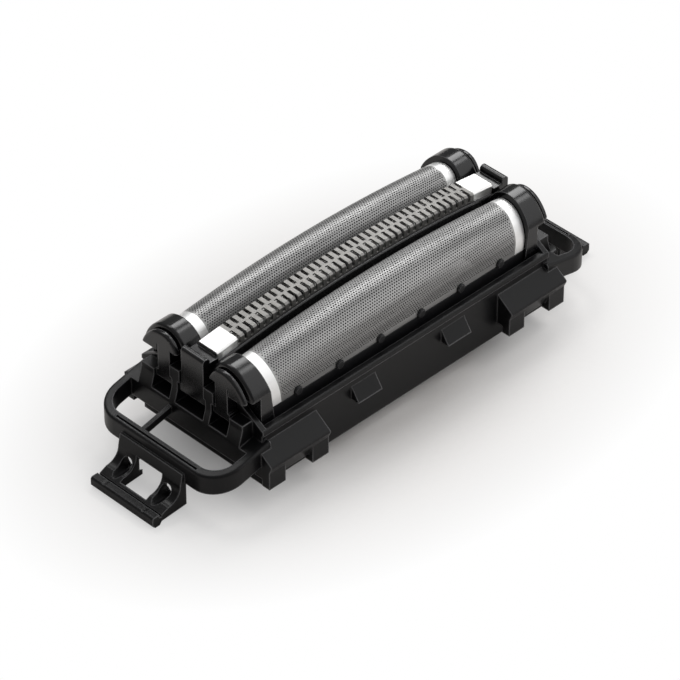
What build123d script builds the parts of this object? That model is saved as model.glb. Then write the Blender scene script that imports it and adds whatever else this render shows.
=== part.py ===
from build123d import *
import os
from math import asin, cos, degrees, radians, sin, tan

# Shaver foil head: a tray frame that carries two arched foils and a slit comb.
# X runs along the foils, Y from front to rear, Z up. The feet of the latch tabs stand on Z = 0.
# Heads are drawn on the rear side (+Y) and caps at the right end (+X), and mirrored to the others.

# Arch and length shared by the foils and the comb
arch_radius = 165.0
crest_height = 16.0
foil_half = 20.0
head_end = 23.3
float_travel = 1.4

# Section of an outer foil, measured in Y from the middle of the head
foil_sheet = 0.1
foil_inner_side = 1.95
foil_crest = 4.6
foil_outer_side = 7.95
crest_radius = 2.8
crest_arc = 42.0
inner_round = 1.85
inner_lean = 29.0
foil_edge_height = 10.0
sheet_gap = 0.05

# Grid of openings in a foil, in place of its fine mesh
grid_columns = 12
grid_pitch = 2.9
grid_length = 2.2
grid_bar = 0.35
flank_row = 14.0

# Caps at the ends of a foil
hood_step = 0.7
hood_length = 2.45
hood_skirt = 1.2
hood_bottom = 8.4
hood_side = 8.3
flange_step = 0.25
nose_gap = 0.25
hood_round = 0.4
tongue_length = 1.7
tongue_overlap = 0.4
leg_inner = 3.5
leg_outer = 5.35
leg_top = 14.5
leg_tip = 9.0
leg_groove = 0.3
leg_groove_depth = 0.6
leg_round = 0.35
barb_reach = 0.3
barb_height = 0.9

# Strips along the lower foil edges
strip_thickness = 0.6
strip_top = 11.3
strip_bottom = 8.3
stud_pitch = 6.2
stud_count = 6
stud_height = 10.2
stud_diameter = 0.7
stud_head_diameter = 1.1
stud_head_height = 0.25
stud_play = 0.05

# Slit comb with its end blocks and rails
comb_half_length = 21.0
comb_half_width = 1.5
comb_chamfer = 0.2
comb_sheet = 0.2
comb_bottom = 11.8
slit_count = 38
slit_pitch = 0.95
slit_width = 0.42
slit_wrap = 0.95
slit_land = 0.3
block_half_width = 1.7
block_tongue = 1.3
block_top = 14.85
block_step = 14.15
ridge_width = 1.0
ridge_round = 0.45
rail_outer = 1.78
rail_drop = 1.1
rail_bottom = 9.8

# Cutter that runs under the comb
cutter_travel = 0.9
cutter_end_gap = 0.4
cutter_gap = 0.25
cutter_side_gap = 0.13
cutter_sheet = 0.15
cutter_chamfer = 0.25
cutter_bottom = 12.4
cutter_slit_count = 40
cutter_slit_pitch = 0.85
cutter_slit_width = 0.35
cutter_slit_depth = 1.0
ear_half_width = 1.1
ear_bottom = 10.4
carrier_half_length = 17.0
carrier_side_gap = 0.07
carrier_top = 13.8
carrier_bottom = 10.2
fork_half_length = 2.2
fork_bottom = 8.2
fork_slot = 1.6
fork_slot_depth = 1.6
pin_x = 12.0
pin_height = 11.0
pin_diameter = 0.8
pin_half_length = 1.3
pin_play = 0.04
pin_lift = 0.25
spring_x = 7.0
spring_diameter = 1.0
spring_wire = 0.16
spring_turns = 3
spring_pocket = 1.5
spring_gap = 0.06

# Tray frame
rim_height = 9.0
wall_bottom = 1.6
wall_inner = 8.55
wall_outer = 9.2
rim_outer = 9.4
rim_bead = 0.7
rim_round = 0.25
wall_end = 22.0
slide_gap = 0.15
guide_outer = 23.5
guide_half_width = 7.8
guide_bottom = 6.2
guide_bend = 9.0
guide_top = 11.6
guide_shoulder = 9.7
gable_inner = 6.2
gable_rise = 0.54

# Wedge blocks, lower lugs and snap lugs on the long walls
wedge_start = 14.0
wedge_end = 22.8
wedge_outer = 11.5
wedge_top = 7.3
wedge_edge = 5.65
wedge_foot = 10.5
wedge_base = 3.4
wedge_root = 0.3
wedge_round = 0.3
lug_bottom = 2.5
lug_length = 2.4
lug_inner = 10.0
lug_outer = 11.1
snap_start = 5.1
snap_end = 8.7
snap_outer = 10.35
snap_top = 7.4
snap_edge = 5.7

# Loops at the ends
loop_tilt = 12.4
loop_height = 7.54
loop_end = 29.2
loop_half_width = 9.9
loop_bar = 1.0
loop_shelf = 24.05
loop_depth = 2.3
loop_corner = 3.6
loop_round = 0.3
loop_groove = 0.25
loop_groove_half = 6.2
tie_y = 2.8
tie_width = 0.5
tie_depth = 0.9
tie_drop = 0.3

# Latch tabs that hang from the loops
tab_half_width = 4.85
tab_inner = 29.0
tab_outer = 29.5
tab_lean = 0.22
tab_top = 4.9
foot_end = 33.9
foot_thickness = 1.05
foot_rise = 0.6
foot_tip = 0.4
foot_tip_thickness = 0.8
lip_width = 1.0
lip_top = 1.4
lip_round = 0.3
lip_bevel = 0.35
lip_groove = 0.3
lip_groove_depth = 0.2
tab_round = 1.8
window_half_width = 2.0
window_top = 3.55
window_end = 32.2
peg_hole_y = 3.05
peg_hole_z = 2.1
peg_hole_diameter = 1.5
peg_relief_diameter = 2.6
peg_web = 0.4

# Values that follow from the sizes above
overshoot = 1.0
arch_centre = crest_height - arch_radius
arch_axis = Axis((0, 0, arch_centre), (0, 1, 0))
section_low = wall_bottom - crest_height
flank_run = foil_outer_side - foil_crest - crest_radius * sin(radians(crest_arc))
flank_radius = flank_run / (1 - sin(radians(crest_arc)))
flank_y = foil_crest + (crest_radius - flank_radius) * sin(radians(crest_arc))
flank_z = -crest_radius + (crest_radius - flank_radius) * cos(radians(crest_arc))
leg_start = foil_half + hood_skirt
guide_inner = leg_start + slide_gap
notch_bottom = leg_tip - float_travel - slide_gap
barb_window_top = leg_tip + barb_height + slide_gap
gable_top = rim_height + gable_rise * (rim_outer - gable_inner)
nose_bottom = guide_top + float_travel + nose_gap
nose_low = gable_top + float_travel + nose_gap
cutter_half_length = comb_half_length - block_tongue - cutter_travel - cutter_end_gap
cutter_half_width = comb_half_width - comb_sheet - cutter_side_gap
cutter_drop = comb_sheet + cutter_gap
carrier_half_width = cutter_half_width - cutter_sheet - carrier_side_gap
lip_inner = foot_end - lip_width

os.makedirs("parts", exist_ok=True)


def crest_at(x):
    """Height of the arched crest at distance x from the middle."""
    return arch_centre + (arch_radius**2 - x**2) ** 0.5


def arch_angle(x):
    """Angle about the arch axis of a crest point at distance x from the middle."""
    return degrees(asin(x / arch_radius))


def arch_plane(angle):
    """Plane across the arch: local x is Y, local y is radial, and its origin is on the crest."""
    t = radians(angle)
    origin = (arch_radius * sin(t), 0, arch_centre + arch_radius * cos(t))
    return Plane(origin=origin, x_dir=(0, 1, 0), z_dir=(cos(t), 0, -sin(t)))


def foil_outline(grow, side, low):
    """Edges of the foil section, grown outwards, with its inner side at a given Y."""
    with BuildLine() as outline:
        inner = CenterArc((foil_crest, -inner_round), inner_round + grow, 180 - inner_lean, inner_lean - 90)
        CenterArc((foil_crest, -crest_radius), crest_radius + grow, 90, -crest_arc)
        flank = CenterArc((flank_y, flank_z), flank_radius + grow, 90 - crest_arc, crest_arc - 90)
        shoulder = (inner @ 0).Y - ((inner @ 0).X - side) / tan(radians(inner_lean))
        Polyline(inner @ 0, (side, shoulder), (side, low), ((flank @ 1).X, low), flank @ 1)
    return outline.edges()


def outline_face(*points, mode=Mode.ADD):
    """Closed straight-sided face in the current sketch."""
    with BuildLine() as outline:
        Polyline(*points, close=True)
    make_face(outline.edges(), mode=mode)


def channel(half_width, bevel, drop):
    """Solid section of a channel with bevelled edges whose top is drop below the crest."""
    with BuildSketch() as section:
        with Locations((0, -drop)):
            Rectangle(2 * half_width, -section_low - drop, align=(Align.CENTER, Align.MAX))
        chamfer(section.vertices().group_by(Axis.Y)[-1], bevel)
    return section.sketch


def keep_between(low, high):
    """Cut the part flat at two heights."""
    split(bisect_by=Plane.XY.offset(low), keep=Keep.TOP)
    split(bisect_by=Plane.XY.offset(high), keep=Keep.BOTTOM)


def centred(count, pitch):
    """Evenly spaced places about zero."""
    return [(i - (count - 1) / 2) * pitch for i in range(count)]


def block(x, y, z, mode=Mode.ADD):
    """Box between two limits along each axis."""
    with Locations(((x[0] + x[1]) / 2, (y[0] + y[1]) / 2, (z[0] + z[1]) / 2)):
        Box(x[1] - x[0], y[1] - y[0], z[1] - z[0], mode=mode)


def clear_end_wall():
    """Cut the end of a cap clear of the frame's end wall over the whole float."""
    span = (leg_start, head_end)
    block(span, (0, leg_outer + slide_gap), (0, nose_bottom), mode=Mode.SUBTRACT)
    block(span, (leg_outer, foil_outer_side + overshoot), (0, nose_low), mode=Mode.SUBTRACT)


def save(piece, name):
    """Label a finished piece and write it as its own node."""
    piece.label = name
    export_step(piece, f"parts/{name}.step")


def save_mirrored(piece, plane, name):
    """Write the mirror image of a finished piece as a node of its own."""
    with BuildPart() as image:
        mirror(piece, about=plane)
    save(image.part, name)
    return image.part


# Rows of the grid across the foil: where each row stands on the section, and how wide it is
crest_centre = Pos(foil_crest, -crest_radius, 0)
flank_centre = Pos(flank_y, flank_z, 0)
inner_centre = Pos(foil_crest, -inner_round, 0)
crest_row = crest_arc / 2
inner_reach = foil_crest - foil_inner_side - inner_round * cos(radians(inner_lean))
inner_run = inner_reach / sin(radians(inner_lean))
crest_width = crest_radius * radians(crest_row) - grid_bar
flank_width = flank_radius * radians(flank_row) - grid_bar
inner_width = inner_run - 2 * grid_bar
bend_arc = 90 - inner_lean
bend_width = inner_round * radians(bend_arc) - grid_bar
on_crest = Pos(0, crest_radius, 0)
on_flank = Pos(0, flank_radius, 0)
grid_rows = [
    (inner_centre * Rot(0, 0, bend_arc) * Pos(-inner_run / 2, inner_round, 0), inner_width),
    (inner_centre * Rot(0, 0, bend_arc / 2) * Pos(0, inner_round, 0), bend_width),
    (crest_centre * Rot(0, 0, -crest_row / 2) * on_crest, crest_width),
    (crest_centre * Rot(0, 0, -crest_row * 3 / 2) * on_crest, crest_width),
    (flank_centre * Rot(0, 0, -crest_arc - flank_row / 2) * on_flank, flank_width),
    (flank_centre * Rot(0, 0, -crest_arc - flank_row * 3 / 2) * on_flank, flank_width),
]

# Foil: a thin arched sheet with a grid of openings, a flat lower edge and holes for the strip's studs
foil_span = arch_angle(foil_half - sheet_gap)
stud_places = centred(stud_count, stud_pitch)
grid_planes = [arch_plane(arch_angle(x)).location for x in centred(grid_columns, grid_pitch)]
with BuildPart() as foil:
    with BuildSketch(arch_plane(-foil_span)):
        make_face(foil_outline(0, foil_inner_side, section_low))
        make_face(foil_outline(-foil_sheet, foil_inner_side + foil_sheet, section_low), mode=Mode.SUBTRACT)
    revolve(axis=arch_axis, revolution_arc=2 * foil_span)
    keep_between(foil_edge_height, crest_height + overshoot)
    with Locations(*[(x, foil_outer_side, stud_height) for x in stud_places]):
        Cylinder(stud_diameter / 2 + stud_play, overshoot, rotation=(90, 0, 0), mode=Mode.SUBTRACT)
    for row, width in grid_rows:
        with Locations(*[plane * row for plane in grid_planes]):
            Box(width, overshoot, grid_length, mode=Mode.SUBTRACT)

# Outer strip: backs the lower outer edge of the foil, with a flush foot below that edge and studs
strip_inset = -foil_sheet - strip_thickness
with BuildPart() as strip_foot:
    with BuildSketch(arch_plane(-foil_span)):
        make_face(foil_outline(0, foil_inner_side, section_low))
        make_face(foil_outline(strip_inset, foil_inner_side, section_low), mode=Mode.SUBTRACT)
    revolve(axis=arch_axis, revolution_arc=2 * foil_span)
    keep_between(strip_bottom, foil_edge_height - sheet_gap)
with BuildPart() as outer_strip:
    with BuildSketch(arch_plane(-foil_span)):
        make_face(foil_outline(-foil_sheet - sheet_gap / 2, foil_inner_side, section_low))
        make_face(foil_outline(strip_inset, foil_inner_side, section_low), mode=Mode.SUBTRACT)
    revolve(axis=arch_axis, revolution_arc=2 * foil_span)
    keep_between(foil_edge_height - sheet_gap, strip_top)
    add(strip_foot.part)
    split(bisect_by=Plane.XZ.offset(-foil_crest), keep=Keep.BOTTOM)
    upright = (-90, 0, 0)
    from_base = (Align.CENTER, Align.CENTER, Align.MIN)
    stud_root = foil_outer_side - foil_sheet - strip_thickness / 2
    stud_face = foil_outer_side + stud_play
    with Locations(*[(x, stud_root, stud_height) for x in stud_places]):
        Cylinder(stud_diameter / 2, stud_face - stud_root, rotation=upright, align=from_base)
    with Locations(*[(x, stud_face, stud_height) for x in stud_places]):
        Cylinder(stud_head_diameter / 2, stud_head_height, rotation=upright, align=from_base)
    chamfer(edges().group_by(Axis.Y)[-1].filter_by(GeomType.CIRCLE), stud_head_height / 2)

# Inner strip: a straight stepped bar behind the inner foil edge
strip_half = (strip_bottom - arch_centre) * tan(radians(foil_span))
with BuildPart() as inner_strip:
    strip_back = foil_inner_side + foil_sheet + strip_thickness
    strip_front = foil_inner_side + foil_sheet + sheet_gap / 2
    with BuildSketch(Plane.YZ):
        outline_face(
            (foil_inner_side, strip_bottom),
            (strip_back, strip_bottom),
            (strip_back, strip_top),
            (strip_front, strip_top),
            (strip_front, foil_edge_height - sheet_gap),
            (foil_inner_side, foil_edge_height - sheet_gap),
        )
    extrude(amount=strip_half, both=True)

# Cap: a hood over the end of the foil, a flange beyond a groove, a tongue and a leg in the end wall
hood_origin = (foil_half - hood_skirt, 0, crest_at(foil_half))
hood_plane = Plane(origin=hood_origin, x_dir=(0, 1, 0), z_dir=(1, 0, 0))
tongue_inset = foil_sheet + sheet_gap
with BuildPart() as tongue:
    with BuildSketch(arch_plane(arch_angle(foil_half - tongue_length))):
        make_face(foil_outline(-tongue_inset, foil_inner_side + tongue_inset, section_low))
    revolve(axis=arch_axis, revolution_arc=arch_angle(tongue_length + tongue_overlap))
    keep_between(strip_top + nose_gap, crest_height)
hood_low = hood_bottom - crest_at(foil_half)
groove_start = foil_half + hood_length
groove_end = groove_start + leg_groove
with BuildPart() as flange:
    with BuildSketch(hood_plane.offset(groove_end - foil_half + hood_skirt)):
        make_face(foil_outline(flange_step, foil_inner_side, hood_low))
    extrude(amount=head_end - groove_end)
    clear_end_wall()
    fillet(edges().group_by(Axis.X)[-1].filter_by(GeomType.CIRCLE), leg_round)
with BuildPart() as cap:
    with BuildSketch(hood_plane):
        make_face(foil_outline(hood_step, foil_inner_side, hood_low))
    extrude(amount=hood_skirt + hood_length)
    split(bisect_by=arch_plane(arch_angle(foil_half)), keep=Keep.TOP)
    split(bisect_by=Plane.XZ.offset(-hood_side), keep=Keep.TOP)
    clear_end_wall()
    fillet(edges().group_by(Axis.X)[-1].filter_by(GeomType.CIRCLE), hood_round)
    add(tongue.part)
    add(flange.part)
    block((leg_start, head_end), (leg_inner, leg_outer), (leg_tip, leg_top))
    block(
        (leg_start, head_end),
        (leg_inner - barb_reach, leg_outer + barb_reach),
        (leg_tip, leg_tip + barb_height),
    )
    block(
        (groove_start, groove_end),
        (leg_inner, leg_outer),
        (leg_top - leg_groove_depth, leg_top),
        mode=Mode.SUBTRACT,
    )

# Slit comb: an arched channel with two staggered rows of slits over its edges
comb_span = arch_angle(comb_half_length)
comb_outer = channel(comb_half_width, comb_chamfer, 0)
hollow_chamfer = comb_chamfer - (2 - 2**0.5) * comb_sheet
comb_hollow = channel(comb_half_width - comb_sheet, hollow_chamfer, comb_sheet)
with BuildPart() as slit_comb:
    with BuildSketch(arch_plane(-comb_span)):
        add(comb_outer)
        add(comb_hollow, mode=Mode.SUBTRACT)
    revolve(axis=arch_axis, revolution_arc=2 * comb_span)
    keep_between(comb_bottom, crest_height + overshoot)
    for side, edge in ((1, Align.MIN), (-1, Align.MAX)):
        slit_base = Pos(side * slit_land / 2, -slit_wrap, 0)
        slit_xs = [x + side * slit_pitch / 4 for x in centred(slit_count, slit_pitch)]
        with Locations(*[arch_plane(arch_angle(x)).location * slit_base for x in slit_xs]):
            Box(
                comb_half_width,
                slit_wrap + overshoot,
                slit_width,
                align=(edge, Align.MIN, Align.CENTER),
                mode=Mode.SUBTRACT,
            )

# Comb rail: the side of the mid head below the slits
with BuildPart() as rail:
    rail_span = arch_angle(comb_half_length - sheet_gap)
    rail_inner = comb_half_width + sheet_gap / 2
    with BuildSketch(arch_plane(-rail_span)):
        outline_face(
            (rail_inner, -rail_drop),
            (rail_outer - rail_drop / 8, -rail_drop),
            (rail_outer, -rail_drop - rail_drop / 8),
            (rail_outer, section_low),
            (rail_inner, section_low),
        )
    revolve(axis=arch_axis, revolution_arc=2 * rail_span)
    keep_between(rail_bottom, crest_height)

# Comb block: closes the end of the comb behind a rounded ridge, and slides in the end wall
with BuildPart() as comb_block:
    block_start = comb_half_length + sheet_gap
    tongue_half_width = comb_half_width - comb_sheet - sheet_gap
    tongue_top = crest_at(comb_half_length) - comb_sheet - sheet_gap
    block_y = (-block_half_width, block_half_width)
    block((block_start, head_end), block_y, (leg_tip, block_step))
    block((head_end - ridge_width, head_end), block_y, (leg_tip, block_top))
    fillet(edges().filter_by(Axis.Y).group_by(Axis.Z)[-1], ridge_round)
    block(
        (guide_inner, head_end),
        (-block_half_width - barb_reach, block_half_width + barb_reach),
        (leg_tip, leg_tip + barb_height),
    )
    block(
        (comb_half_length - block_tongue, block_start),
        (-tongue_half_width, tongue_half_width),
        (comb_bottom, tongue_top),
    )

# Slit cutter: a thin slotted blade that runs to and fro under the comb, with two ears a side
cutter_span = arch_angle(cutter_half_length)
blade_outer = channel(cutter_half_width, cutter_chamfer, cutter_drop)
blade_inner = cutter_half_width - cutter_sheet
blade_chamfer = cutter_chamfer - (2 - 2**0.5) * cutter_sheet
blade_hollow = channel(blade_inner, blade_chamfer, cutter_drop + cutter_sheet)
with BuildPart() as slit_cutter:
    with BuildSketch(arch_plane(-cutter_span)):
        add(blade_outer)
        add(blade_hollow, mode=Mode.SUBTRACT)
    revolve(axis=arch_axis, revolution_arc=2 * cutter_span)
    keep_between(cutter_bottom, crest_height)
    cutter_places = [arch_angle(x) for x in centred(cutter_slit_count, cutter_slit_pitch)]
    slit_floor = Pos(0, -cutter_drop - cutter_slit_depth, 0)
    with Locations(*[arch_plane(angle).location * slit_floor for angle in cutter_places]):
        Box(
            2 * comb_half_width,
            crest_height,
            cutter_slit_width,
            align=(Align.CENTER, Align.MIN, Align.CENTER),
            mode=Mode.SUBTRACT,
        )
    for x in (-pin_x, pin_x):
        for inner in (-cutter_half_width, cutter_half_width - cutter_sheet):
            block(
                (x - ear_half_width, x + ear_half_width),
                (inner, inner + cutter_sheet),
                (ear_bottom, cutter_bottom + cutter_sheet),
            )
    with Locations((-pin_x, 0, pin_height), (pin_x, 0, pin_height)):
        Cylinder(pin_diameter / 2 + pin_play, 2 * pin_half_length, rotation=(90, 0, 0), mode=Mode.SUBTRACT)
    for x in (-pin_x, pin_x):
        block(
            (x - pin_diameter / 2 - pin_play, x + pin_diameter / 2 + pin_play),
            (-pin_half_length, pin_half_length),
            (pin_height, pin_height + pin_lift),
            mode=Mode.SUBTRACT,
        )

# Cutter carrier: the bar inside the blade, with a fork for the drive and pockets for the springs
with BuildPart() as cutter_carrier:
    carrier_y = (-carrier_half_width, carrier_half_width)
    block((-carrier_half_length, carrier_half_length), carrier_y, (carrier_bottom, carrier_top))
    block((-fork_half_length, fork_half_length), carrier_y, (fork_bottom, carrier_top))
    block(
        (-fork_slot / 2, fork_slot / 2),
        carrier_y,
        (fork_bottom, fork_bottom + fork_slot_depth),
        mode=Mode.SUBTRACT,
    )
    with Locations((-pin_x, 0, pin_height), (pin_x, 0, pin_height)):
        Cylinder(pin_diameter / 2 + pin_play, 2 * pin_half_length, rotation=(90, 0, 0), mode=Mode.SUBTRACT)
    with Locations((-spring_x, 0, carrier_top - spring_pocket), (spring_x, 0, carrier_top - spring_pocket)):
        Cylinder(
            spring_diameter / 2 + spring_gap,
            crest_height,
            align=(Align.CENTER, Align.CENTER, Align.MIN),
            mode=Mode.SUBTRACT,
        )

# Cutter springs: two short coils between the carrier pockets and the blade
spring_low = carrier_top - spring_pocket + spring_wire / 2 + sheet_gap
spring_roof = crest_at(spring_x + spring_diameter / 2) - cutter_drop - cutter_sheet
spring_high = spring_roof - spring_wire / 2 - sheet_gap
spring_height = spring_high - spring_low
with BuildPart() as coil:
    with BuildLine():
        coil_path = Helix(spring_height / spring_turns, spring_height, (spring_diameter - spring_wire) / 2)
    with BuildSketch(Plane(origin=coil_path @ 0, z_dir=coil_path % 0)):
        Rectangle(spring_wire, spring_wire)
    sweep()
with BuildPart() as cutter_springs:
    with Locations((-spring_x, 0, spring_low), (spring_x, 0, spring_low)):
        add(coil.part)

# Cutter pins: hold the ears of the blade to the carrier
with BuildPart() as cutter_pins:
    with Locations((-pin_x, 0, pin_height), (pin_x, 0, pin_height)):
        Cylinder(pin_diameter / 2, 2 * pin_half_length, rotation=(90, 0, 0))

# End loop: a ring cut from a tilted plate, with rounded outer corners and a groove along its bar
tilt = radians(loop_tilt)
loop_x = (cos(tilt), 0, -sin(tilt))
loop_plane = Plane(origin=(wall_end, 0, loop_height), x_dir=loop_x, z_dir=(sin(tilt), 0, cos(tilt)))
loop_hole_end = loop_end - loop_bar
loop_hole_half = loop_half_width - loop_bar
shelf_top = loop_height - (loop_shelf - wall_end) * tan(tilt)
with BuildSketch() as loop_outer:
    with Locations((guide_inner, 0)):
        Rectangle(loop_end - guide_inner, 2 * loop_half_width, align=(Align.MIN, Align.CENTER))
    fillet(loop_outer.vertices().group_by(Axis.X)[-1], loop_corner)
with BuildSketch() as loop_hole:
    with Locations((loop_shelf, 0)):
        Rectangle(loop_hole_end - loop_shelf, 2 * loop_hole_half, align=(Align.MIN, Align.CENTER))
    fillet(loop_hole.vertices().group_by(Axis.X)[-1], loop_corner - loop_bar)
with BuildPart() as loop:
    with BuildSketch():
        add(loop_outer.sketch)
        add(loop_hole.sketch, mode=Mode.SUBTRACT)
    extrude(amount=rim_height)
    split(bisect_by=loop_plane, keep=Keep.BOTTOM)
    split(bisect_by=loop_plane.offset(-loop_depth), keep=Keep.TOP)
    ring_top = faces().sort_by(Axis(loop_plane.origin, loop_plane.z_dir))[-1]
    fillet(ring_top.outer_wire().edges().sort_by(Axis.X)[1:], loop_round)
    with BuildSketch(Plane.XY.offset(loop_height)):
        with Locations((loop_end - loop_bar / 2, 0)):
            Rectangle(loop_groove, 2 * loop_groove_half)
    groove_floor = loop_height - (loop_end - loop_bar / 2 - wall_end) * tan(tilt) - loop_groove
    extrude(amount=groove_floor - loop_height, mode=Mode.SUBTRACT)

# Latch tab: a wall on the loop bar and a foot with a lip, with a window and two peg holes
foot_top = foot_rise + foot_thickness
groove_top = foot_tip + foot_tip_thickness
bend_top = foot_top + tab_round
bend_x = tab_outer + tab_lean * (tab_top - bend_top)
with BuildPart() as tab:
    with BuildSketch(Plane.XZ):
        with BuildLine():
            inside = Polyline(
                (bend_x + tab_round, foot_top),
                (lip_inner - lip_groove, groove_top),
                (lip_inner - lip_groove, groove_top - lip_groove_depth),
                (lip_inner, groove_top - lip_groove_depth),
                (lip_inner, lip_top),
                (foot_end, lip_top),
                (foot_end, lip_bevel),
                (foot_end - lip_bevel, 0),
                (lip_inner, 0),
                (lip_inner - lip_groove, foot_tip),
                (tab_inner, foot_rise),
                (tab_inner, tab_top),
                (tab_outer, tab_top),
                (bend_x, bend_top),
            )
            bend = tab_round * (1 - cos(radians(45)))
            ThreePointArc(inside @ 1, (bend_x + bend, foot_top + bend), inside @ 0)
        make_face()
    extrude(amount=tab_half_width, both=True)
    fillet(edges().filter_by(Axis.Y).group_by(Axis.X)[-1].sort_by(Axis.Z)[-1], lip_round)
    block(
        (tab_inner - overshoot, window_end),
        (-window_half_width, window_half_width),
        (-overshoot, window_top),
        mode=Mode.SUBTRACT,
    )
    peg_depth = bend_x - tab_inner - peg_web
    with Locations((tab_inner, -peg_hole_y, peg_hole_z), (tab_inner, peg_hole_y, peg_hole_z)):
        Cylinder(peg_hole_diameter / 2, 2 * (foot_end - tab_inner), rotation=(0, 90, 0), mode=Mode.SUBTRACT)
        Cylinder(peg_relief_diameter / 2, 2 * peg_depth, rotation=(0, 90, 0), mode=Mode.SUBTRACT)

# Tray frame, drawn as the rear right quarter: long wall, end wall with guides, lugs, loop and tab
leg_notch = (leg_inner - slide_gap, leg_outer + slide_gap)
barb_notch = (leg_inner - barb_reach - slide_gap, leg_outer + barb_reach + slide_gap)
block_notch = (-block_half_width - slide_gap, block_half_width + slide_gap)
block_barb_notch = (-block_half_width - barb_reach - slide_gap, block_half_width + barb_reach + slide_gap)
guide_span = (guide_inner - overshoot, guide_outer + overshoot)
with BuildPart() as frame_side:
    with BuildSketch(Plane.YZ):
        outline_face(
            (wall_inner, wall_bottom),
            (wall_outer, wall_bottom),
            (wall_outer, rim_height - rim_bead),
            (rim_outer, rim_height - rim_bead),
            (rim_outer, rim_height),
            (wall_inner, rim_height),
        )
        fillet(vertices().group_by(Axis.Y)[-1].sort_by(Axis.X)[-1], rim_round)
    extrude(amount=wall_end)
    with BuildSketch(Plane.YZ.offset(guide_inner)):
        outline_face(
            (0, wall_bottom),
            (wall_outer, wall_bottom),
            (wall_outer, rim_height),
            (gable_inner, gable_top),
            (0, gable_top),
        )
    extrude(amount=wall_end - guide_inner)
    for top, width in ((guide_top, leg_inner - slide_gap), (guide_shoulder, guide_half_width)):
        with BuildSketch(Plane.XZ):
            outline_face(
                (guide_inner, guide_bottom),
                (loop_shelf, guide_bottom),
                (loop_shelf, shelf_top),
                (guide_outer, guide_bend),
                (guide_outer, top),
                (guide_inner, top),
            )
        extrude(amount=-width)
    with BuildSketch(Plane.YZ.offset(wedge_start)):
        outline_face(
            (wall_outer - wedge_root, wedge_top),
            (wall_outer, wedge_top),
            (wedge_outer, wedge_edge),
            (wedge_foot, wedge_base),
            (wall_outer - wedge_root, wedge_base),
        )
        fillet(vertices().sort_by(Axis.X)[-1], wedge_round)
    extrude(amount=wedge_end - wedge_start)
    for x in (wedge_start, wedge_end - lug_length):
        block((x, x + lug_length), (lug_inner, lug_outer), (lug_bottom, wedge_edge - wedge_round))
    with BuildSketch(Plane.YZ.offset(snap_start)):
        outline_face(
            (wall_outer - wedge_root, snap_top),
            (wall_outer, snap_top),
            (snap_outer, snap_edge),
            (wall_outer - wedge_root, snap_edge),
        )
    extrude(amount=snap_end - snap_start)
    mirror(about=Plane.XZ)
    add(loop.part)
    add(tab.part)
    block(guide_span, block_notch, (notch_bottom, crest_height), mode=Mode.SUBTRACT)
    block(guide_span, block_barb_notch, (notch_bottom, barb_window_top), mode=Mode.SUBTRACT)
    for side in (-1, 1):
        leg_y = sorted(side * y for y in leg_notch)
        barb_y = sorted(side * y for y in barb_notch)
        block(guide_span, leg_y, (notch_bottom, crest_height), mode=Mode.SUBTRACT)
        block(guide_span, barb_y, (notch_bottom, barb_window_top), mode=Mode.SUBTRACT)
    with BuildSketch(loop_plane.offset(-tie_drop)):
        with Locations(((loop_shelf - wall_end) / cos(tilt) - tie_width, tie_y)):
            tie_length = (loop_hole_end - loop_shelf) / cos(tilt) + 2 * tie_width
            Rectangle(tie_length, tie_width, align=(Align.MIN, Align.CENTER))
    extrude(amount=-tie_depth)

# The whole frame is one moulding: the right half and its mirror image
with BuildPart() as cassette_frame:
    add(frame_side.part)
    mirror(about=Plane.YZ)

# Pieces of the rear head and their images in the front head
save(cassette_frame.part, "cassette_frame")
save(foil.part, "rear_foil")
save_mirrored(foil.part, Plane.XZ, "front_foil")
save(outer_strip.part, "rear_outer_strip")
save_mirrored(outer_strip.part, Plane.XZ, "front_outer_strip")
save(inner_strip.part, "rear_inner_strip")
save_mirrored(inner_strip.part, Plane.XZ, "front_inner_strip")
save(cap.part, "rear_right_cap")
left_cap = save_mirrored(cap.part, Plane.YZ, "rear_left_cap")
save_mirrored(cap.part, Plane.XZ, "front_right_cap")
save_mirrored(left_cap, Plane.XZ, "front_left_cap")

# Pieces of the mid head and its cutter
save(slit_comb.part, "slit_comb")
save(rail.part, "comb_rear_rail")
save_mirrored(rail.part, Plane.XZ, "comb_front_rail")
save(comb_block.part, "comb_right_block")
save_mirrored(comb_block.part, Plane.YZ, "comb_left_block")
save(slit_cutter.part, "slit_cutter")
save(cutter_carrier.part, "cutter_carrier")
save(cutter_springs.part, "cutter_springs")
save(cutter_pins.part, "cutter_pins")
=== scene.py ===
from functools import lru_cache
from math import cos, pi, radians, sin, sqrt

import bpy
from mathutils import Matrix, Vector


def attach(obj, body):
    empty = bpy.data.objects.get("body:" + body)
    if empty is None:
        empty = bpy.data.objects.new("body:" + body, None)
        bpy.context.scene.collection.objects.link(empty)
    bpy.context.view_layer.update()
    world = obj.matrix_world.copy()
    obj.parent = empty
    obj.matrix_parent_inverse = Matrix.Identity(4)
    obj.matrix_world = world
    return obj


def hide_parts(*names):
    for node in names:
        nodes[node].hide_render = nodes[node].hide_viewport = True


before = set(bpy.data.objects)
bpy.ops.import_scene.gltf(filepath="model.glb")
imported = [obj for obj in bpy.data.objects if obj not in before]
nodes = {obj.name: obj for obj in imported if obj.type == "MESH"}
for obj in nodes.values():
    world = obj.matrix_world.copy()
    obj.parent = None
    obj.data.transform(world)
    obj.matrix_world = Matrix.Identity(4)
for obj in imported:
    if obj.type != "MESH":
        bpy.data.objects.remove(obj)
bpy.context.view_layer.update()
scene = bpy.context.scene
MM = 0.001

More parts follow.
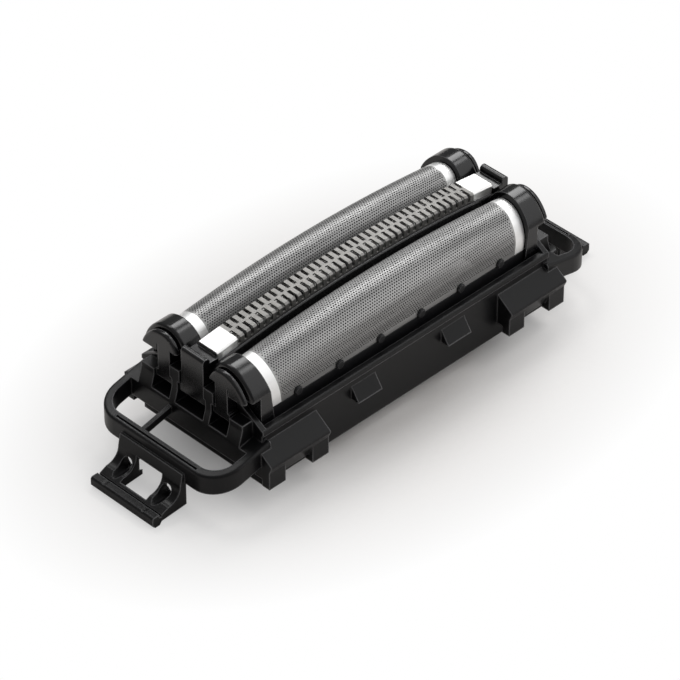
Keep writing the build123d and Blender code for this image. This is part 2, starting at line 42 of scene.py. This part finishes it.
# The camera of the photograph, and the pixel where it saw the pivot
VIEW_AZIMUTH = -44.96
VIEW_ELEVATION = 39.31
VIEW_DISTANCE = 481 * MM
VIEW_PIVOT = Vector((0, 0, -1 * MM))
PIXELS_PER_METRE = 9055
IMAGE_SIDE = 680
PIVOT_PIXEL = (348.3, 372.6)
SENSOR_WIDTH = 36.0

# The foil's arch and section, as in the solids
ARCH_RADIUS = 165 * MM
CREST_HEIGHT = 16 * MM
FOIL_END = 19.95 * MM
FOIL_INNER = 1.95 * MM
FOIL_CREST = 4.6 * MM
FOIL_OUTER = 7.95 * MM
FOIL_EDGE = 10 * MM
FOIL_SHEET = 0.1 * MM
CREST_RADIUS = 2.8 * MM
CREST_ARC = radians(42)
INNER_ROUND = 1.85 * MM
INNER_LEAN = radians(29)

# The foil's perforation
BAND_START = 18.5 * MM
BORDER = 0.45 * MM
CELL_PITCH = 0.34 * MM
CELL_OPEN = 0.53

# Corners of a cell, in columns along and rows across the foil, and how near two points are one
CELL_CORNERS = ((0, -2 / 3), (0.5, -1 / 3), (0.5, 1 / 3), (0, 2 / 3), (-0.5, 1 / 3), (-0.5, -1 / 3))
SAME_POINT = 1e-7

# Places of the two steels in a foil's list of finishes
ETCHED = 0
BRIGHT = 1

# Painted bands of light and shade along the foils, and where the comb's plain plates begin, in
# millimetres
PAINTED_BAND_PLACE = 4.6
PAINTED_BAND_PITCH = 1.69
PLATE_START = 17.95

# Tones of the mouldings, and of the painted highlight along their outer edges
BLACK_TONE = (0.004, 0.004, 0.0045)
STRIP_TONE = (0.006, 0.006, 0.007)
CARRIER_TONE = (0.05, 0.05, 0.055)
PAINTED_EDGE_HIGHLIGHT = (0.17, 0.17, 0.175, 1)

# Half the floor's width in metres, and the spread in millimetres of the patch that keeps the shadow
FLOOR_REACH = 4.0
SHADOW_LENGTH = 92
SHADOW_WIDTH = 60


class Field:
    """A shader socket that takes part in ordinary arithmetic."""

    def __init__(self, finish, socket):
        self.finish = finish
        self.socket = socket

    def _math(self, operation, first, second):
        return self.finish.node("ShaderNodeMath", {"operation": operation}, {0: first, 1: second})

    def __add__(self, other):
        return self._math("ADD", self, other)

    def __sub__(self, other):
        return self._math("SUBTRACT", self, other)

    def __rsub__(self, other):
        return self._math("SUBTRACT", other, self)

    def __mul__(self, other):
        return self._math("MULTIPLY", self, other)

    __radd__ = __add__
    __rmul__ = __mul__


class Finish:
    """A material, world or other node tree that is built from nodes and fields."""

    def __init__(self, tree):
        self.tree = tree
        tree.nodes.clear()

    def node(self, kind, settings=None, inputs=None, out=0):
        """Adds a node, sets it, feeds it, and gives one of its outputs as a field."""
        made = self.tree.nodes.new(kind)
        for name, value in (settings or {}).items():
            if name == "stops":
                self._ramp(made.color_ramp, value)
            else:
                setattr(made, name, value)
        for name, value in (inputs or {}).items():
            self.feed(made.inputs[name], value)
        return Field(self, made.outputs[out]) if made.outputs else made

    def feed(self, socket, value):
        """Links a field to a socket, or sets a plain value on it."""
        if isinstance(value, Field):
            self.tree.links.new(value.socket, socket)
        else:
            socket.default_value = value

    def _ramp(self, ramp, stops):
        while len(ramp.elements) < len(stops):
            ramp.elements.new(1.0)
        for element, (place, tone) in zip(ramp.elements, stops):
            element.position = place
            element.color = (tone, tone, tone, 1)

    def ramp(self, field, *stops):
        """A grey ramp over a field, from (place, tone) stops."""
        return self.node("ShaderNodeValToRGB", {"stops": stops}, {"Fac": field})

    def mix(self, share, first, second):
        """One colour into another by a share."""
        settings = {"data_type": "RGBA", "blend_type": "MIX"}
        return self.node("ShaderNodeMix", settings, {"Factor": share, 6: first, 7: second}, out=2)

    def millimetres(self, stretch=(1, 1, 1)):
        """Object coordinates counted in millimetres, scaled along each axis."""
        place = self.node("ShaderNodeTexCoord", out=3)
        scale = tuple(1000 * s for s in stretch)
        return self.node("ShaderNodeVectorMath", {"operation": "MULTIPLY"}, {0: place, 1: scale})

    def noise(self, place, scale, detail=2.0, roughness=0.5):
        """Noise over a place, as a field from about 0 to 1."""
        inputs = {"Vector": place, "Scale": scale, "Detail": detail, "Roughness": roughness}
        return self.node("ShaderNodeTexNoise", None, inputs)

    def bump(self, height, strength, depth, normal=None):
        """A normal raised by a height field."""
        inputs = {"Height": height, "Strength": strength, "Distance": depth}
        if normal:
            inputs["Normal"] = normal
        return self.node("ShaderNodeBump", None, inputs)

    def surface(self, shader):
        """Sends a shader to the output."""
        kind = "World" if scene.world and self.tree == scene.world.node_tree else "Material"
        self.node("ShaderNodeOutput" + kind, None, {"Surface": shader})


def new_material(name):
    """An empty node material and its finish."""
    material = bpy.data.materials.new(name)
    material.use_nodes = True
    return material, Finish(material.node_tree)


def shade(tone, level):
    """A tone made darker or lighter, as an opaque colour."""
    return tuple(min(1, level * c) for c in tone) + (1,)


def moulded_plastic(name, tone, roughness, shine, edge, grain):
    """Moulded plastic: faint mould grain, specks of dust, and soft rounded edges with a painted highlight
    on the convex ones.
    """
    material, f = new_material(name)
    place = f.millimetres()
    mottle = f.noise(place, 0.35, 3)
    fine = f.noise(place, 9.0, 4, 0.6)
    dust = f.ramp(f.noise(place, 3.2, 6, 0.7), (0.62, 0), (0.8, 1))
    dusty = tuple(c + 0.006 for c in tone) + (1,)
    body = f.mix(dust * 0.25, f.mix(mottle, shade(tone, 0.75), shade(tone, 1.35)), dusty)
    gloss = roughness + (mottle - 0.5) * 0.16 + (fine - 0.5) * 0.1
    rounded = f.node("ShaderNodeBevel", {"samples": 6}, {"Radius": edge})
    face = f.node("ShaderNodeNewGeometry", out=1)
    level = f.node("ShaderNodeVectorMath", {"operation": "DOT_PRODUCT"}, {0: rounded, 1: face}, out=1)
    free = f.node("ShaderNodeAmbientOcclusion", {"samples": 4}, {"Distance": 1.2 * MM}, out=1)
    # Painted highlight: a lighter colour on open, convex edges, where the rounded normal turns away from
    # the face
    painted_edge_highlight = f.ramp(1 - level, (0.01, 0), (0.1, 1)) * f.ramp(free, (0.5, 0), (0.85, 1))
    colour = f.mix(painted_edge_highlight, body, PAINTED_EDGE_HIGHLIGHT)
    normal = f.bump(fine, grain, 0.03 * MM, rounded)
    inputs = {"Base Color": colour, "Roughness": gloss, "Normal": normal, "Specular IOR Level": shine}
    f.surface(f.node("ShaderNodeBsdfPrincipled", None, inputs))
    return material


def drawn_steel(name, tone, roughness, streak, scratch):
    """Bare steel with soft streaks along its length and fine scratches."""
    material, f = new_material(name)
    along = f.noise(f.millimetres((0.06, 1, 1)), 1.6, 4)
    hair = f.noise(f.millimetres((0.35, 6, 6)), 3.0, 5, 0.65)
    cloud = f.noise(f.millimetres(), 0.4, 3)
    streaks = f.ramp(along, (0.3, 0), (0.7, 1))
    colour = f.mix(streaks, shade(tone, 1 - streak), shade(tone, 1 + streak))
    gloss = roughness + (hair - 0.5) * 0.12 + (cloud - 0.5) * 0.08
    inputs = {
        "Base Color": colour,
        "Metallic": 1.0,
        "Roughness": gloss,
        "Normal": f.bump(hair, scratch, 0.01 * MM),
    }
    f.surface(f.node("ShaderNodeBsdfPrincipled", None, inputs))
    return material


def etched_foil(name, tone, roughness):
    """Thin etched foil: matt steel with random streaks and painted bands of light and shade along its
    length, set across its curved section.
    """
    material, f = new_material(name)
    across = f.node("ShaderNodeSeparateXYZ", None, {0: f.millimetres()}, out=1)
    # Painted light and shade: a wave across the section gives lighter and darker bands where the curved
    # foil catches or loses the light
    phase = (across - PAINTED_BAND_PLACE) * (2 * pi / PAINTED_BAND_PITCH) + pi / 2
    wave = f.node("ShaderNodeMath", {"operation": "SINE"}, {0: phase})
    drift = f.noise(f.millimetres((0.05, 1, 1)), 1.1, 4, 0.6)
    hair = f.noise(f.millimetres((0.3, 6, 6)), 3.0, 4, 0.6)
    painted_bands = f.ramp(wave * 0.22 + drift, (0.2, 0), (0.8, 1))
    inputs = {
        "Base Color": f.mix(painted_bands, shade(tone, 0.68), shade(tone, 1.3)),
        "Metallic": 1.0,
        "Roughness": roughness + (hair - 0.5) * 0.15,
        "Normal": f.bump(hair, 0.1, 0.01 * MM),
    }
    f.surface(f.node("ShaderNodeBsdfPrincipled", None, inputs))
    return material


def slit_steel(name, field, ends, roughness):
    """Comb steel: a darker tone painted over the slit zone as the shade among its slits, bright on the
    plain plates at its ends.
    """
    material, f = new_material(name)
    along = f.node("ShaderNodeSeparateXYZ", None, {0: f.millimetres()}, out=0)
    reach = f.node("ShaderNodeMath", {"operation": "ABSOLUTE"}, {0: along})
    plate = f.ramp((reach - PLATE_START) * 6, (0.0, 0), (1.0, 1))
    cloud = f.noise(f.millimetres(), 1.3, 4, 0.6)
    hair = f.noise(f.millimetres((6, 0.5, 6)), 2.5, 4, 0.6)
    # Painted shade: the slit zone's steel is darkened to stand for the shade in and between its slits
    slit_painted_shade = f.mix(cloud, shade(field, 0.75), shade(field, 1.25))
    inputs = {
        "Base Color": f.mix(plate, slit_painted_shade, shade(ends, 1)),
        "Metallic": 1.0,
        "Roughness": roughness + (hair - 0.5) * 0.12,
        "Normal": f.bump(hair, 0.08, 0.01 * MM),
    }
    f.surface(f.node("ShaderNodeBsdfPrincipled", None, inputs))
    return material


def paper_floor():
    """Pale floor that stays white to the eye and keeps the object's shadow."""
    material, f = new_material("pale_floor")
    fibre = f.noise(f.millimetres(), 1.5, 4)
    tone = f.mix(fibre, (0.79, 0.765, 0.745, 1), (0.83, 0.805, 0.785, 1))
    diffuse = f.node("ShaderNodeBsdfDiffuse", None, {"Color": tone})
    glow = f.node("ShaderNodeEmission", None, {"Color": (1, 1, 1, 1), "Strength": 1.0})
    place = f.millimetres((1 / SHADOW_LENGTH, 1 / SHADOW_WIDTH, 0))
    away = f.node("ShaderNodeVectorMath", {"operation": "LENGTH"}, {0: place}, out=1)
    eye = f.node("ShaderNodeLightPath", out=0)
    share = f.ramp(away, (0.18, 0), (0.52, 1)) * eye
    f.surface(f.node("ShaderNodeMixShader", None, {"Fac": share, 1: diffuse, 2: glow}))
    return material


def studio_floor():
    """A wide flat sheet at the height of the feet."""
    mesh = bpy.data.meshes.new("floor")
    corners = [(FLOOR_REACH * x, FLOOR_REACH * y, 0) for x, y in ((-1, -1), (1, -1), (1, 1), (-1, 1))]
    mesh.from_pydata(corners, [], [(0, 1, 2, 3)])
    mesh.materials.append(paper_floor())
    sheet = bpy.data.objects.new("floor", mesh)
    scene.collection.objects.link(sheet)
    return sheet


def studio_world():
    """A dim room, lighter overhead than near the floor."""
    world = bpy.data.worlds.new("studio")
    world.use_nodes = True
    scene.world = world
    f = Finish(world.node_tree)
    direction = f.node("ShaderNodeTexCoord", out=0)
    height = f.node("ShaderNodeSeparateXYZ", None, {0: direction}, out=2)
    room = f.ramp(height, (0.0, 0.12), (0.4, 0.25), (0.9, 0.4))
    f.surface(f.node("ShaderNodeBackground", None, {"Color": room, "Strength": 1.0}))


def area_lamp(name, place, size, power):
    """A soft square lamp that points at the middle of the feet."""
    lamp = bpy.data.lights.new(name, "AREA")
    lamp.shape = "SQUARE"
    lamp.size = size
    lamp.energy = power
    holder = bpy.data.objects.new(name, lamp)
    holder.location = place
    holder.rotation_euler = (-Vector(place)).to_track_quat("-Z", "Y").to_euler()
    scene.collection.objects.link(holder)


def photo_camera():
    """The camera where the photograph was taken, aimed so that the pivot lands on its pixel."""
    turn = radians(VIEW_AZIMUTH)
    rise = radians(VIEW_ELEVATION)
    towards = Vector((sin(turn) * cos(rise), -cos(turn) * cos(rise), sin(rise)))
    right = Vector((cos(turn), sin(turn), 0))
    up = towards.cross(right)
    place = VIEW_PIVOT + VIEW_DISTANCE * towards
    off_x = (IMAGE_SIDE / 2 - PIVOT_PIXEL[0]) / PIXELS_PER_METRE
    off_y = (PIVOT_PIXEL[1] - IMAGE_SIDE / 2) / PIXELS_PER_METRE
    aim = VIEW_PIVOT + off_x * right + off_y * up
    data = bpy.data.cameras.new("photo_camera")
    data.sensor_width = SENSOR_WIDTH
    data.lens = PIXELS_PER_METRE * VIEW_DISTANCE / IMAGE_SIDE * SENSOR_WIDTH
    data.clip_start = 0.01
    camera = bpy.data.objects.new("photo_camera", data)
    camera.location = place
    camera.rotation_euler = (aim - place).to_track_quat("-Z", "Y").to_euler()
    scene.collection.objects.link(camera)
    scene.camera = camera


def foil_section(distance):
    """Point (y, height over the crest) and outward normal at a distance along the section from the crest.

    Distances are negative on the inner side and positive towards the outer edge.
    """
    flank_run = FOIL_OUTER - FOIL_CREST - CREST_RADIUS * sin(CREST_ARC)
    flank_radius = flank_run / (1 - sin(CREST_ARC))
    if distance < 0:
        angle = min(-distance / INNER_ROUND, pi / 2 - INNER_LEAN)
        y = FOIL_CREST - INNER_ROUND * sin(angle)
        height = INNER_ROUND * (cos(angle) - 1)
        rest = -distance - angle * INNER_ROUND
        slope = min(rest, (y - FOIL_INNER) / sin(INNER_LEAN))
        y -= slope * sin(INNER_LEAN)
        height -= slope * cos(INNER_LEAN) + rest - slope
        return y, height, (-1, 0) if rest > slope else (-sin(angle), cos(angle))
    angle = min(distance / CREST_RADIUS, CREST_ARC)
    y = FOIL_CREST + CREST_RADIUS * sin(angle)
    height = CREST_RADIUS * (cos(angle) - 1)
    rest = distance - angle * CREST_RADIUS
    if rest > 0:
        lean = min(CREST_ARC + rest / flank_radius, pi / 2)
        y += flank_radius * (sin(lean) - sin(CREST_ARC))
        height += flank_radius * (cos(lean) - cos(CREST_ARC))
        height -= rest - (lean - CREST_ARC) * flank_radius
        angle = lean
    return y, height, (sin(angle), cos(angle))


def foil_point(x, distance, depth, side):
    """Point of the foil in the row frame, depth inside its outer face."""
    y, height, (ny, nz) = foil_section(distance)
    radius = ARCH_RADIUS + height - depth * nz
    swing = x / ARCH_RADIUS
    centre = CREST_HEIGHT - ARCH_RADIUS
    return Vector((radius * sin(swing), side * (y - depth * ny), centre + radius * cos(swing)))


@lru_cache(maxsize=None)
def edge_distances(x):
    """Distances along the section where the flat lower edge cuts it, on the inner and outer side."""
    swing = x / ARCH_RADIUS
    drop = (FOIL_EDGE - CREST_HEIGHT + ARCH_RADIUS) / cos(swing) - ARCH_RADIUS
    found = []
    for way in (-1, 1):
        low, high = 0.0, 2 * (CREST_HEIGHT - FOIL_EDGE)
        for _ in range(40):
            middle = (low + high) / 2
            if foil_section(way * middle)[1] > drop:
                low = middle
            else:
                high = middle
        found.append(way * low)
    return found


class Sheet:
    """A thin two-sided sheet on the foil's surface, gathered face by face in sheet coordinates."""

    def __init__(self, side):
        self.side = side
        self.points = []
        self.known = {}
        self.faces = []
        self.finishes = []

    def point(self, x, distance, depth):
        """Index of a point of the sheet, shared by the faces that meet there."""
        key = (round(x / SAME_POINT), round(distance / SAME_POINT), depth)
        if key not in self.known:
            self.known[key] = len(self.points)
            self.points.append(foil_point(x, distance, depth, self.side))
        return self.known[key]

    def face(self, corners, finish):
        """One face, wound to look outwards on both foils."""
        self.faces.append(corners if self.side > 0 else corners[::-1])
        self.finishes.append(finish)

    def patch(self, outline, finish):
        """A solid patch: its outer face and its inner face."""
        self.face([self.point(x, d, 0) for x, d in outline], finish)
        self.face([self.point(x, d, FOIL_SHEET) for x, d in reversed(outline)], finish)

    def ring(self, outline, hole, finish):
        """A cell with a hole through it: both faces and the wall of the hole."""
        for depth, way in ((0, 1), (FOIL_SHEET, -1)):
            outer = [self.point(x, d, depth) for x, d in outline]
            inner = [self.point(x, d, depth) for x, d in hole]
            for a in range(len(outer)):
                b = (a + 1) % len(outer)
                self.face([outer[a], outer[b], inner[b], inner[a]][::way], finish)
        top = [self.point(x, d, 0) for x, d in hole]
        low = [self.point(x, d, FOIL_SHEET) for x, d in hole]
        for a in range(len(top)):
            b = (a + 1) % len(top)
            self.face([top[a], top[b], low[b], low[a]], finish)

    def rim(self, chain, finish):
        """The narrow wall along an outer edge, with the sheet to the left of the chain of points."""
        for near, far in zip(chain, chain[1:]):
            top = [self.point(x, d, 0) for x, d in (far, near)]
            low = [self.point(x, d, FOIL_SHEET) for x, d in (near, far)]
            self.face(top + low, finish)

    def build(self, name, finishes):
        """The sheet as a smooth mesh object with sharp rims."""
        mesh = bpy.data.meshes.new(name)
        mesh.from_pydata(self.points, [], self.faces)
        for finish in finishes:
            mesh.materials.append(finish)
        mesh.polygons.foreach_set("material_index", self.finishes)
        mesh.polygons.foreach_set("use_smooth", [True] * len(self.faces))
        mesh.set_sharp_from_angle(angle=radians(50))
        mesh.update()
        piece = bpy.data.objects.new(name, mesh)
        scene.collection.objects.link(piece)
        return piece


def spread(low, high, count):
    """Evenly spaced values from low to high, both included."""
    return [low + (high - low) * i / count for i in range(count + 1)]


def perforated_foil(name, side, finishes):
    """A foil of honeycomb cells with a plain border along its edges and a plain band at each end."""
    sheet = Sheet(side)
    edges = edge_distances(0)
    run = edges[1] - edges[0] - 2 * BORDER
    row_pitch = CELL_PITCH * sqrt(3) / 2
    rows = round(run / row_pitch)
    columns = round(2 * BAND_START / CELL_PITCH)
    step = 2 * BAND_START / columns

    def place(column, row):
        """Sheet coordinates of a lattice point, held inside the perforated field."""
        column = min(max(column, 0), columns)
        row = min(max(row, 0), rows)
        x = -BAND_START + column * step
        inner, outer = edge_distances(x)
        return x, inner + BORDER + (outer - inner - 2 * BORDER) * row / rows

    for row in range(rows + 1):
        for column in range(columns + 1):
            middle = column + 0.5 * (row % 2)
            outline = [place(middle + a, row + b) for a, b in CELL_CORNERS]
            if 0 < row < rows and 1 <= middle <= columns - 1:
                hole = [place(middle + CELL_OPEN * a, row + CELL_OPEN * b) for a, b in CELL_CORNERS]
                sheet.ring(outline, hole, ETCHED)
            elif middle <= columns:
                sheet.patch([p for i, p in enumerate(outline) if p != outline[i - 1]], ETCHED)

    def plain(xs, places, finish):
        """Plain sheet over a list of x, through the places that a function gives across the section."""
        for a, b in zip(xs, xs[1:]):
            across_a = places(*edge_distances(a))
            across_b = places(*edge_distances(b))
            for i in range(len(across_a) - 1):
                outline = [(a, across_a[i]), (b, across_b[i]), (b, across_b[i + 1]), (a, across_a[i + 1])]
                sheet.patch(outline, finish)

    def inner_border(low, high):
        return spread(low, low + BORDER, 2)

    def outer_border(low, high):
        return spread(high - BORDER, high, 2)

    def whole_section(low, high):
        """Both borders, and between them the corners of the last cells, which lie off the rows."""
        thirds = spread(low + BORDER, high - BORDER, 3 * rows)
        corners = [distance for i, distance in enumerate(thirds) if i % 3]
        return inner_border(low, high) + corners + outer_border(low, high)

    length = spread(-BAND_START, BAND_START, 2 * columns)
    plain(length, inner_border, ETCHED)
    plain(length, outer_border, ETCHED)
    left = spread(-FOIL_END, -BAND_START, 3)
    right = spread(BAND_START, FOIL_END, 3)
    plain(left, whole_section, BRIGHT)
    plain(right, whole_section, BRIGHT)
    stations = left + length[1:-1] + right
    left_end = whole_section(*edge_distances(-FOIL_END))
    right_end = whole_section(*edge_distances(FOIL_END))
    sheet.rim([(x, edge_distances(x)[0]) for x in stations], ETCHED)
    sheet.rim([(FOIL_END, distance) for distance in right_end], BRIGHT)
    sheet.rim([(x, edge_distances(x)[1]) for x in reversed(stations)], ETCHED)
    sheet.rim([(-FOIL_END, distance) for distance in reversed(left_end)], BRIGHT)
    return sheet.build(name, finishes)


def dress(finish, *names):
    """Gives CAD nodes a finish."""
    for name in names:
        node = nodes[name]
        node.data.materials.clear()
        node.data.materials.append(finish)


frame_black = moulded_plastic("frame_black", BLACK_TONE, 0.34, shine=0.22, edge=0.24 * MM, grain=0.2)
cap_black = moulded_plastic("cap_black", BLACK_TONE, 0.2, shine=0.45, edge=0.18 * MM, grain=0.1)
strip_black = moulded_plastic("strip_black", STRIP_TONE, 0.45, shine=0.25, edge=0.08 * MM, grain=0.3)
carrier_grey = moulded_plastic("carrier_grey", CARRIER_TONE, 0.5, shine=0.3, edge=0.1 * MM, grain=0.3)
foil_steel = etched_foil("foil_steel", (0.38, 0.378, 0.375), 0.58)
band_steel = drawn_steel("band_steel", (0.95, 0.95, 0.945), 0.48, streak=0.03, scratch=0.05)
comb_steel = slit_steel("comb_steel", (0.27, 0.264, 0.255), (0.95, 0.945, 0.93), 0.52)
cutter_steel = drawn_steel("cutter_steel", (0.85, 0.845, 0.83), 0.5, streak=0.06, scratch=0.1)
wire_steel = drawn_steel("wire_steel", (0.62, 0.62, 0.62), 0.25, streak=0.05, scratch=0.1)

dress(frame_black, "cassette_frame")
dress(cap_black, "front_left_cap", "front_right_cap", "rear_left_cap", "rear_right_cap")
dress(cap_black, "comb_left_block", "comb_right_block", "comb_front_rail", "comb_rear_rail")
dress(strip_black, "front_outer_strip", "rear_outer_strip", "front_inner_strip", "rear_inner_strip")
dress(comb_steel, "slit_comb")
dress(cutter_steel, "slit_cutter")
dress(carrier_grey, "cutter_carrier")
dress(wire_steel, "cutter_springs", "cutter_pins")

for end, side in (("front", -1), ("rear", 1)):
    foil = perforated_foil(f"{end}_foil_mesh", side, (foil_steel, band_steel))
    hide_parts(f"{end}_foil")
    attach(foil, f"{end}_head")

floor = studio_floor()

photo_camera()
studio_world()
area_lamp("top_softbox", (0.06, 0.36, 0.54), size=0.2, power=0.65)
area_lamp("edge_lamp", (0.355, -0.065, 0.54), size=0.16, power=0.32)
area_lamp("rear_softbox", (0.4, 0.25, 0.47), size=0.26, power=1.4)
area_lamp("right_panel", (0.5, -0.5, 0.48), size=1.0, power=3.2)
scene.view_settings.view_transform = "Standard"
